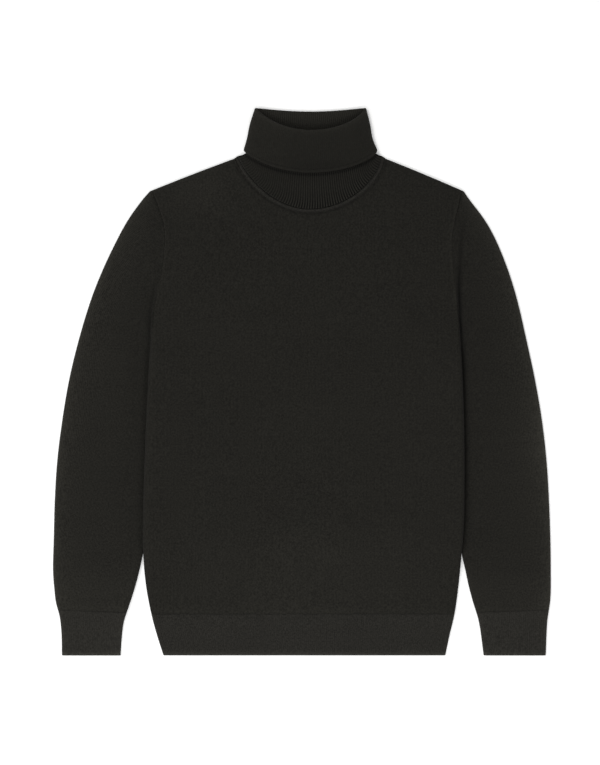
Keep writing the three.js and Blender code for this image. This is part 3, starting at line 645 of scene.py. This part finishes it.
def sleeve(side):
    sign = -1 if side == "left" else 1
    col = 1 if side == "left" else 2
    inner_f, outer_f, edge_f = curve(SLEEVE_INNER, col), curve(SLEEVE_OUTER, col), (body_left, body_right)[col - 1]
    v = np.concatenate([[0, 0.0012, 0.003], np.linspace(0.006, 0.994, 176), [0.9965, 0.9985, 1]])
    u = np.concatenate([[0, 0.004, 0.012, 0.025, 0.042], np.linspace(0.06, 0.94, 44), [0.958, 0.975, 0.988, 0.996, 1]])
    yi = lerp(ARMHOLE_FOOT, CUFF_LINE[0] - OVERLAP, v ** 1.6)
    yo = lerp(SHOULDER_TIP, CUFF_LINE[1] - OVERLAP, v ** 0.9)
    xi, xo = inner_f(yi), outer_f(yo)
    # below the underarm the inner edge runs in under the body's edge at once
    xi = sign * np.where(yi > 0, np.minimum(sign * xi, sign * edge_f(yi) + 0.05 - 5.0 * smooth((ARMHOLE_FOOT - yi) / 26)), sign * xi)
    ay = lerp(ARMHOLE_FOOT, SHOULDER_TIP, u)
    ax = edge_f(ay) + sign * (0.2 - OVERLAP)
    foot, tip = (ax[0], ay[0]), (ax[-1], ay[-1])
    U, V = u[None], v[:, None]
    X = lerp(xi[:, None], xo[:, None], U) + (1 - V) * (ax[None] - lerp(foot[0], tip[0], U))
    Y = lerp(yi[:, None], yo[:, None], U) + (1 - V) * (ay[None] - lerp(foot[1], tip[1], U))
    X[0], Y[0] = ax, ay
    width = np.hypot(X[:, -1:] - X[:, :1], Y[:, -1:] - Y[:, :1])
    g = Y - lerp(CUFF_LINE[0], CUFF_LINE[1], U)
    d_out, d_in = (1 - U) * width, U * width
    beyond = sign * (X - edge_f(np.minimum(Y, SHOULDER_TIP)))
    low_free = smooth((-222 - Y) / 46)
    high_free = smooth((Y - ARMHOLE_FOOT + 4) / 46)
    free = np.maximum(np.maximum(smooth((beyond - 3) / 34), high_free), low_free)
    crown = lerp(SLEEVE_HEAD, SLEEVE_CROWN, smooth(V / 0.2)) + 0 * U
    crown = SLEEVE_TUCKED + (crown - SLEEVE_TUCKED) * free
    r_in = lerp(2.6, 7.0, low_free)
    q = np.minimum(0.42 * quarter(d_out, 7.5) + 0.58 * quarter(d_out, 62.0), quarter(d_in, r_in))
    level = EDGE_LEVEL
    seam_side = smooth((Y - ARMHOLE_FOOT - 6) / 30) * np.exp(-(np.maximum(beyond, 0) / 22.0) ** 2)
    upper = level + (crown - level) * q
    # broad shaping and soft folds of a sleeve lying flat
    relief = 0.45 * waves(X, Y, 21 + col, 150.0) * smooth(beyond / 30) * smooth(d_out / 30)
    relief += 0.08 * waves(X, Y, 31 + col, 40.0) * smooth(beyond / 20) * smooth(d_out / 20)
    if side == "left":
        relief += (crease(X, Y, -226, 24, -300, -22, 12, -0.8, 7) + crease(X, Y, -230, -20, -292, -66, 11, -0.5, -5)
                   + crease(X, Y, -216, 96, -262, 40, 10, -0.55, 5) + crease(X, Y, -238, -190, -318, -214, 13, -0.45, 6)
                   + crease(X, Y, -250, -262, -286, -318, 8, -0.4, 3) + crease(X, Y, -322, -268, -308, -320, 7, -0.35, -3)
                   + crease(X, Y, -222, 212, -268, 150, 12, -0.35, 8))
    else:
        relief += (crease(X, Y, 236, 40, 302, 2, 12, -0.7, -7) + crease(X, Y, 240, -8, 306, -58, 12, -0.5, 6)
                   + crease(X, Y, 226, 118, 276, 62, 11, -0.55, -5) + crease(X, Y, 244, -170, 322, -206, 14, -0.45, -6)
                   + crease(X, Y, 252, -258, 292, -316, 8, -0.4, -3) + crease(X, Y, 330, -262, 314, -320, 7, -0.3, 3)
                   + crease(X, Y, 236, 214, 280, 148, 12, -0.35, -8))
    relief *= quarter(d_out, 16) * np.clip(free, 0, 1)
    # the groove beside the armhole seam, and the hollow where the body's edge lies on the sleeve
    arm = smooth((Y - 92) / 26)
    high = smooth((Y - 206) / 22)
    relief += arm * (0.55 * np.exp(-(beyond / 1.6) ** 2) - 0.35 * high * np.exp(-((beyond - 3.2) / 1.1) ** 2)) * quarter(d_out, 6)
    rows = CREASE_LEFT if side == "left" else CREASE_RIGHT
    at_y, aside, depth = (np.array(c) for c in zip(*rows[::-1]))
    path, deep = np.interp(Y, at_y, aside), np.interp(Y, at_y, depth)
    wide = 3.4 if side == "left" else 4.0
    fall = np.where(beyond < path, 2.2, wide)
    trough = deep * np.exp(-((beyond - path) / fall) ** 2) * (1 - smooth((-218 - Y) / 40)) * quarter(d_out, 10)
    relief -= trough * quarter(d_in, 4)
    # gathers into the cuff
    relief += 0.14 * np.sin(2 * np.pi * (X + 2.0 * np.sin(X / 17.0)) / 12.5) * np.exp(-np.maximum(g, 0) / 15.0) * quarter(d_out, 10) * quarter(d_in, 10)
    relief += 0.45 * np.exp(-((g - 7) / 6.0) ** 2) * q - 0.7 * np.exp(-(g / 1.3) ** 2) * q
    upper = upper + relief
    lower = level * (1 - np.minimum(quarter(d_out, 3.2), quarter(d_in, 2.4))) + 0 * upper
    under = (crease(X, Y, sign * 232, 84, sign * 292, 34, 12, 0.75, -6) + crease(X, Y, sign * 238, -34, sign * 306, -72, 12, 0.6, 5)
             + crease(X, Y, sign * 246, -176, sign * 322, -222, 13, 0.55, sign * 6) + crease(X, Y, sign * 258, -250, sign * 296, -312, 9, 0.5, -4)
             + crease(X, Y, sign * 236, 206, sign * 268, 140, 12, 0.45, sign * 7))
    under += 0.10 * (1 + waves(X, Y, 51 + col, 44.0))
    lower = lower + under * quarter(d_out, 26) * quarter(d_in, 20) * smooth((g - 3) / 20)
    upper = np.maximum(upper, lower + 0.25)
    upper[:, 0] = upper[:, -1] = level
    A, B = tube_faces(X, Y, upper, lower, WALL)
    n = A.shape[1]
    length = np.concatenate([[0], np.cumsum(np.hypot(np.diff(X.mean(1)), np.diff(Y.mean(1))))])
    w_mean = width.mean()
    around = np.concatenate([u, 2 - u[::-1][1:]])
    uvg = np.stack(np.broadcast_arrays(around[None] * w_mean, length[:, None]), 2)
    cross = np.concatenate([(u - .5), (u[::-1] - .5)[1:]])
    knit = np.stack(np.broadcast_arrays(cross[None] * width * 1.0, -length[:, None]), 2) * MM
    # painted light and shade on the sleeve: painted highlights along the outer edge, stronger on the sleeve at +X with
    # an extra pool of light part way down; painted shade in the crease beside the body and near the body's edge;
    # painted highlight on the armhole seam and shade in its groove; lighter along the inner edge low down and towards
    # the cuff; painted highlight and shade at the cuff line
    painted_light_shade = ((0.50 if side == "left" else 0.66) * np.exp(-(d_out / 4.0)) + (0.38 if side == "left" else 0.50) * np.exp(-(d_out / 17.0))
           + (0.0 if side == "left" else 0.34) * np.exp(-(d_out / 24.0)) * np.exp(-((Y + 95) / 65.0) ** 2)
           + (0.0 if side == "left" else 0.42) * np.exp(-(d_out / 13.0)) * np.exp(-((Y + 100) / 72.0) ** 2)
           + (0.20 if side == "left" else 0.12) * np.exp(-(d_out / 3.0))
           - (0.15 if side == "left" else 0.26) * trough - 0.09 * high_free * np.exp(-(np.maximum(beyond, 0) / 30.0))
           - 0.09 * (1 - high_free) * (1 - low_free) * np.exp(-(np.maximum(beyond, 0) / 30.0))
           + arm * 0.14 * np.exp(-(beyond / 1.6) ** 2) - arm * high * 0.12 * np.exp(-((beyond - 3.2) / 1.2) ** 2)
           + 0.16 * low_free * np.exp(-(d_in / 7.0)) + 0.17 * smooth((-248 - Y) / 50)
           + 0.10 * np.exp(-((g - 4.5) / 4.0) ** 2) - 0.22 * np.exp(-(g / 0.9) ** 2))
    painted_light_shade = np.concatenate([painted_light_shade, painted_light_shade[:, -2:0:-1]], 1)
    ob = add_piece("sleeve_" + ("right" if side == "left" else "left") + "_knit", A, B, True,
                   (0.005, 0.01, 0.70, 0.97), (0.72, 0.01, 0.99, 0.50), uvg, uvg, knit, knit, plain_mat,
                   painted_light_shade, painted_light_shade)
    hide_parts("sleeve_right" if side == "left" else "sleeve_left")
    return ob


def cuff(side):
    a, b = (1, 2) if side == "left" else (3, 4)
    fi, fo = curve(CUFF_EDGE, a), curve(CUFF_EDGE, b)
    ribs = 33
    n = ribs * 6
    u = np.concatenate([[0, 0.004, 0.010, 0.020], np.linspace(0.032, 0.968, n), [0.980, 0.990, 0.996, 1]])
    rows = np.concatenate([[RIB_LINE + OVERLAP, -325.6, -326.4, -327.6], np.linspace(-330, -378, 17),
                           [-380.2, -381.3, -382.0, -382.5, BAND_END]])
    part = (rows - BAND_END) / (rows[0] - BAND_END)
    yi, yo = (lerp(BAND_END, line + OVERLAP, part)[:, None] for line in CUFF_LINE)
    xi, xo = fi(yi), fo(yo)
    X, Y = lerp(xi, xo, u[None]), lerp(yi, yo, u[None])
    to_line = lerp(CUFF_LINE[0], CUFF_LINE[1], u[None]) - Y
    width = np.abs(xo - xi)
    d = np.minimum(u, 1 - u)[None] * width
    e = Y - BAND_END
    crown = lerp(CUFF_END, CUFF_CROWN, smooth(e / 50))
    q = quarter(d, 6.5)
    level = EDGE_LEVEL
    wave = rib_wave(u * (ribs + 1.5))[None]
    fade = quarter(d, 9) * smooth((e + 0.2) / 3.0) * smooth((to_line + 0.6) / 2.6)
    upper = level + (crown - level) * q + 0.22 * wave * fade
    upper += 0.25 * waves(X, Y, 41 + a, 70.0) * quarter(d, 20)
    upper += 0.35 * np.exp(-((e - 2.6) / 1.8) ** 2) * q - 0.7 * np.exp(-(to_line / 1.3) ** 2) * q
    upper -= 0.7 * (1 - quarter(e, 1.5)) * q
    lower = level * (1 - quarter(d, 3.0)) + 0.14 * (1 + wave) * fade + 0.5 * (1 - quarter(e, 1.5)) * q
    upper = np.maximum(upper, lower + 0.25)
    upper[:, 0] = upper[:, -1] = level
    A, B = tube_faces(X, Y, upper, lower, WALL)
    around = np.concatenate([u, 2 - u[::-1][1:]])
    uvg = np.stack(np.broadcast_arrays(around[None] * 96.0, rows[:, None]), 2)
    cross = np.concatenate([u - .5, (u[::-1] - .5)[1:]])
    knit = np.stack(np.broadcast_arrays(cross[None] * width, rows[:, None]), 2) * MM
    # painted light and shade: painted highlight along the cuff's end and side edges, rib backs lighter and furrows
    # darker, painted shade at the cuff line, and the whole cuff painted lighter, the one at +X more
    painted_light_shade = (0.72 * np.exp(-(e / 4.2) ** 2) + 0.08 * wave * fade - 0.20 * np.exp(-(to_line / 0.9) ** 2)
           + 0.34 * np.exp(-(d / 4.5)) + (0.12 if side == "left" else 0.18))
    painted_light_shade = np.concatenate([painted_light_shade, painted_light_shade[:, -2:0:-1]], 1)
    ob = add_piece("cuff_" + ("right" if side == "left" else "left") + "_rib", A, B, True,
                   (0.005, 0.30, 0.995, 0.93), (0.005, 0.01, 0.70, 0.26), uvg, uvg, knit, knit, rib_mat_painted_lighter,
                   painted_light_shade, painted_light_shade)
    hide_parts("cuff_right" if side == "left" else "cuff_left")
    return ob


# ---------------------------------------------------------------- collar
def ring_points(ring, inward, counts, grow=0.0, power=6.0):
    """Points round a flattened ring, evenly spaced along its front and its back. Returns xyz, q, crown, is_front."""
    left, right, side, yf, yb, top, under = ring
    level = lerp(under, top, 0.34)

    def half(front, n):
        q = np.sin(np.linspace(-np.pi / 2, np.pi / 2, 721))
        x, y = neck_curve((left + inward, right - inward, side, yf, yb), q, front)
        s = np.concatenate([[0], np.cumsum(np.hypot(np.diff(x), np.diff(y)))])
        qs = np.interp(np.linspace(0, s[-1], n + 1), s, q)
        x, y = neck_curve((left + inward, right - inward, side, yf, yb), qs, front)
        crown = np.sqrt(np.maximum(0, 1 - np.abs(qs) ** power))
        z = level + ((top - inward - level) if front else (under + inward - level)) * crown
        return x, y, z, qs, crown, s[-1]
    f, b = half(True, counts[0]), half(False, counts[1])
    cat = lambda k: np.concatenate([f[k], b[k][::-1][1:-1]])
    return np.stack([cat(0), cat(1), cat(2)], 1), cat(3), cat(4), (f[5], b[5])


def resample(rings, stations):
    """Smoothly interpolated rings between the stations of a table."""
    t = np.arange(len(rings), dtype=float)
    fs = [curve([(k, r[c]) for k, r in zip(t, rings)], 1) for c in range(7)]
    return [tuple(float(f(v)) for f in fs) for v in stations]


def collar():
    per = 5
    counts = (COLLAR_RIBS[0] * per, COLLAR_RIBS[1] * per)
    s_stand = np.concatenate([np.linspace(0, 2.8, 11), np.linspace(2.95, 3.85, 17), np.linspace(4.2, 6, 6)])
    s_fold = np.concatenate([np.linspace(0, 2.42, 12), np.linspace(2.46, 3.0, 16)])
    stand, fold = resample(STAND_RINGS, s_stand), resample(FOLD_RINGS, s_fold)
    last, first = stand[-1], fold[0]
    inset = lambda r, w: (r[0] + w, r[1] - w, r[2], r[3], r[4], r[5] - w, r[6] + w)
    rowsA, rowsB, amp, fa, along = [], [], [], [], []
    s = 0.0
    for k, r in enumerate(stand):
        rowsA.append(inset(r, WALL)); rowsB.append(r)
        t = s_stand[k] / 6
        amp.append(lerp(0.75, 0.34, smooth(t * 1.6))); along.append(t * 112)
    m = 7
    for k in range(1, m + 1):
        p = math.pi * k / (m + 1)
        t, up = (1 - math.cos(p)) / 2, math.sin(p)
        a0, a1, b0, b1 = inset(last, WALL), first, last, inset(first, WALL)
        ra = [lerp(x, y, t) for x, y in zip(a0, a1)]
        rb = [lerp(x, y, t) for x, y in zip(b0, b1)]
        for j, rise in ((2, RIM_RISE), (3, 0.4 * RIM_RISE), (4, RIM_RISE)):
            ra[j] += rise * up; rb[j] += 0.12 * up
        rowsA.append(tuple(ra)); rowsB.append(tuple(rb))
        amp.append(0.22); along.append(112 + 5 * k / m)
    for k, r in enumerate(fold):
        t = s_fold[k] / 3
        rowsA.append(r); rowsB.append(inset(r, WALL))
        amp.append(lerp(0.20, 0.15, t)); along.append(117 + t * 62)
    R = len(rowsA)
    A, B = [], []
    N = sum(counts)
    idx = np.arange(N)
    phase = np.where(idx <= counts[0], idx / per, COLLAR_RIBS[0] + (idx - counts[0]) / per)
    rib = rib_wave(phase)
    is_front = idx <= counts[0]
    nstand = len(stand)
    painted_light_rows, inner_painted_light_rows = [], []
    edge_x, edge_y = neck_curve(FOLD_RINGS[-1], np.linspace(-1, 1, 401), True)
    for k in range(R):
        pa, qa, ca, _ = ring_points(rowsA[k], 0.0, counts)
        pb, qb, cb, _ = ring_points(rowsB[k], 0.0, counts)
        h = amp[k] * rib * ca ** 2
        lift = np.where(is_front, h, h + amp[k] * ca ** 2)
        # slack in the laid collar: a soft dent or two, not the same left and right
        q = qa
        if k < nstand:
            slack = 0.5 * np.exp(-((q + 0.35) / 0.25) ** 2) - 0.35 * np.exp(-((q - 0.5) / 0.3) ** 2)
        else:
            slack = 0.55 * np.exp(-((q + 0.45) / 0.3) ** 2) - 0.45 * np.exp(-((q - 0.25) / 0.35) ** 2)
        lift = lift + np.where(is_front, 0.6 * slack * ca, 0.0)
        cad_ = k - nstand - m
        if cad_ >= 0:                                     # edge of the fold: a stitched ridge, and it rounds under
            dist = (3 - s_fold[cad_]) * 19.0
            edge = 0.35 * np.exp(-((dist - 2.2) / 1.5) ** 2) - 0.50 * np.exp(-((dist - 4.9) / 0.9) ** 2)
            lift = lift + np.where(is_front, edge, 0) * ca
        # ribs painted lighter on their backs and darker in the furrows (painted highlight and shade), strongest where
        # the knit is stretched most; the back's inside darker towards the corners of the opening (painted shade) and
        # lighter near its top rim (painted highlight)
        if k < nstand:
            t = s_stand[k] / 6
            strong = lerp(0.30, 1.02, smooth((q + 0.80) / 0.85)) * lerp(1.0, 0.50, smooth((t - 0.10) / 0.34))
            strong = strong * (1 - 0.35 * smooth((q - 0.72) / 0.2))
            outer = np.where(is_front, np.maximum(strong * rib, -0.80) - 0.06, 0.20 * rib)
            # painted shadow on the stand just under the fold's edge
            under_edge = np.interp(pb[:, 0], edge_x, edge_y) - pb[:, 1]
            outer = outer - np.where(is_front, 0.60 * np.exp(-((under_edge - 2.9) / 1.7) ** 2) + 0.10 * np.exp(-((under_edge - 3) / 7.0) ** 2), 0.0)
            inner = np.where(is_front, -0.15, 0.60 * rib + 0.19 - 0.28 * (1 - smooth((1 - np.abs(q)) / 0.35)))
            inner = inner + np.where(is_front, 0.0, 0.30 * smooth((t - 0.86) / 0.14))
            n, inner_painted = inner, outer
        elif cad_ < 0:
            # the fold's rim painted lighter: painted highlight, the back's rim more; its inner face painted darker
            n = np.where(is_front, 0.55, 0.75) + 0.10 * rib
            inner_painted = -0.1 + 0 * rib
        else:
            # painted light and shade on the fold: faint rib highlights, a painted highlight along the stitched ridge
            # and the rim, painted shade in the groove and at the edge line, lighter at both ends and towards the sides,
            # a darker painted patch near the middle
            dist = (3 - s_fold[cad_]) * 19.0
            patch = 0.06 + 0.10 * np.exp(-((q - 0.25) / 0.35) ** 2) * smooth(dist / 20)
            n = patch * rib + 0.06 * math.exp(-((dist - 2.2) / 1.6) ** 2) - 0.08 * math.exp(-(dist / 0.6) ** 2)
            n = n - 0.18 * math.exp(-((dist - 4.9) / 0.9) ** 2) + 0.36 * math.exp(-(s_fold[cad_] * 20 / 3.0) ** 2) + 0.20 * math.exp(-(s_fold[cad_] * 20 / 14.0))
            n = n + 0.30 * np.exp(-((1 - np.abs(q)) / 0.03)) + 0.13 * smooth((-0.15 - q) / 0.4) + 0.07 * smooth((q - 0.3) / 0.4)
            n = n - 0.14 * np.exp(-((dist - 9.0) / 7.0) ** 2) * np.exp(-((q - 0.1) / 0.5) ** 2)
            inner_painted = -0.1 + 0 * rib
        painted_light_rows.append(n + 0 * q)
        inner_painted_light_rows.append(inner_painted + 0 * q)
        pa = pa.copy(); pb = pb.copy()
        pa[:, 2] += lift; pb[:, 2] += lift
        A.append(pa); B.append(pb)
    A, B = np.array(A), np.array(B)
    # round off the fold's free edge
    tail = [(-1, 0.62), (-2, 0.22)]
    for k, f in tail:
        mid = (A[k] + B[k]) / 2
        A[k] = A[k] + (mid - A[k]) * f
        B[k] = B[k] + (mid - B[k]) * f
    A[:, :, 2] = np.maximum(A[:, :, 2], 0.02)
    circ = 400.0
    around = np.append(idx, N) / N * circ
    uvg = np.stack(np.broadcast_arrays(around[None], np.array(along)[:, None]), 2)
    knit = np.stack(np.broadcast_arrays(np.append(phase, sum(COLLAR_RIBS))[None] * 2.9, np.array(along)[:, None]), 2) * MM
    ob = add_piece("collar_rib", A, B, True, (0.005, 0.01, 0.995, 0.53), (0.005, 0.55, 0.995, 0.96), uvg, uvg, knit, knit,
                   collar_mat, np.array(painted_light_rows), np.array(inner_painted_light_rows))
    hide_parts("collar")
    return ob


def neck_seam():
    counts = (420, 330)
    painted_light_rows = []
    rings = resample(SEAM_RINGS, np.linspace(0, 2, 13))
    A, B = [], []
    N = sum(counts)
    idx = np.arange(N)
    is_front = idx <= counts[0]
    for k, r in enumerate(rings):
        t = k / (len(rings) - 1)
        bulge = math.sin(math.pi * t) ** 0.7
        r = list(r)
        base_top = lerp(6.0, 6.4, t)
        r[5] = base_top
        p, q, c, _ = ring_points(tuple(r), 0.0, counts)
        pin, _, _, _ = ring_points((r[0] + 1.2, r[1] - 1.2, r[2], r[3], r[4], base_top - 1.4, r[6] + 1.4), 0.0, counts)
        # linked stitches: slanted beads along the seam
        bead = np.cos(2 * np.pi * (idx / 3.0 + 0.55 * t))
        h = (1.45 + 0.16 * bead) * bulge
        p[:, 2] += np.where(is_front, h, 0) * c
        # painted highlight along the cord's crest and painted shade along its sides, beads lighter and darker in turn
        painted_light_rows.append(0.26 * math.sin(math.pi * t) ** 4 - 0.16 + 0.10 * bead)
        A.append(p); B.append(pin)
    A, B = np.array(A), np.array(B)
    A[:, :, 2] = np.maximum(A[:, :, 2], 0.02)
    uvg = np.stack(np.broadcast_arrays(np.append(idx, N)[None] * 0.55, np.linspace(0, 5, len(rings))[:, None]), 2)
    knit = uvg * MM
    ob = add_piece("neck_linking_seam", A, B, True, (0.005, 0.05, 0.995, 0.45), (0.005, 0.50, 0.70, 0.90), uvg, uvg, knit, knit,
                   rib_mat_painted_lighter, np.array(painted_light_rows), 0.0)
    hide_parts("neck_seam")
    return ob


front_ob, back_ob = body_panel(True), body_panel(False)
hem_f, hem_b = hem_band(True), hem_band(False)
sleeve_r, sleeve_l = sleeve("left"), sleeve("right")
cuff_r, cuff_l = cuff("left"), cuff("right")
collar_ob, seam_ob = collar(), neck_seam()

# ---------------------------------------------------------------- floor, light, camera
scene.view_settings.view_transform = "Standard"
scene.view_settings.look = "None"

floor_me = bpy.data.meshes.new("floor")
floor_me.from_pydata([(-6, -6, -0.0004), (6, -6, -0.0004), (6, 6, -0.0004), (-6, 6, -0.0004)], [], [(0, 1, 2, 3)])
floor = bpy.data.objects.new("floor", floor_me)
scene.collection.objects.link(floor)
floor_mat = bpy.data.materials.new("floor")
floor_mat.use_nodes = True
fb = floor_mat.node_tree.nodes["Principled BSDF"]
fb.inputs["Base Color"].default_value = (0.90, 0.90, 0.895, 1)
fb.inputs["Roughness"].default_value = 0.95
fb.inputs["Emission Color"].default_value = (1, 1, 1, 1)
fb.inputs["Emission Strength"].default_value = 0.20
fb.inputs["Specular IOR Level"].default_value = 0.1
floor_me.materials.append(floor_mat)

world = bpy.data.worlds.new("world")
scene.world = world
world.use_nodes = True
world.node_tree.nodes["Background"].inputs[0].default_value = (1.0, 1.0, 1.0, 1)
world.node_tree.nodes["Background"].inputs[1].default_value = 0.30


def area(name, place, target, size, power):
    light = bpy.data.lights.new(name, "AREA")
    light.shape = "RECTANGLE"
    light.size, light.size_y = size
    light.energy = power
    ob = bpy.data.objects.new(name, light)
    scene.collection.objects.link(ob)
    ob.location = place
    direction = np.array(target, float) - np.array(place, float)
    from mathutils import Vector
    ob.rotation_euler = Vector(direction).to_track_quat("-Z", "Y").to_euler()
    return ob


area("key", (-1.20, 1.00, 1.90), (0, 0, 0), (0.9, 0.9), 23)
area("low", (0.00, -0.85, 1.20), (0, -0.45, 0), (1.2, 0.7), 10)
area("left", (-1.50, -0.30, 1.05), (0, 0, 0), (0.8, 0.8), 9)
area("right", (1.50, -0.30, 1.05), (0, 0, 0), (0.8, 0.8), 7)

K = 1.40e-3
cam_data = bpy.data.cameras.new("camera")
cam = bpy.data.objects.new("camera", cam_data)
scene.collection.objects.link(cam)
distance = 3.2
cam_data.sensor_width = 36.0
cam_data.lens = 36.0 * distance / (765 * K) * 1.0014
cam_data.clip_start, cam_data.clip_end = 0.05, 50
cam.location = (-1.9 * K, -1.0 * K, distance + 0.002)
cam.rotation_euler = (0, 0, 0)
scene.camera = cam
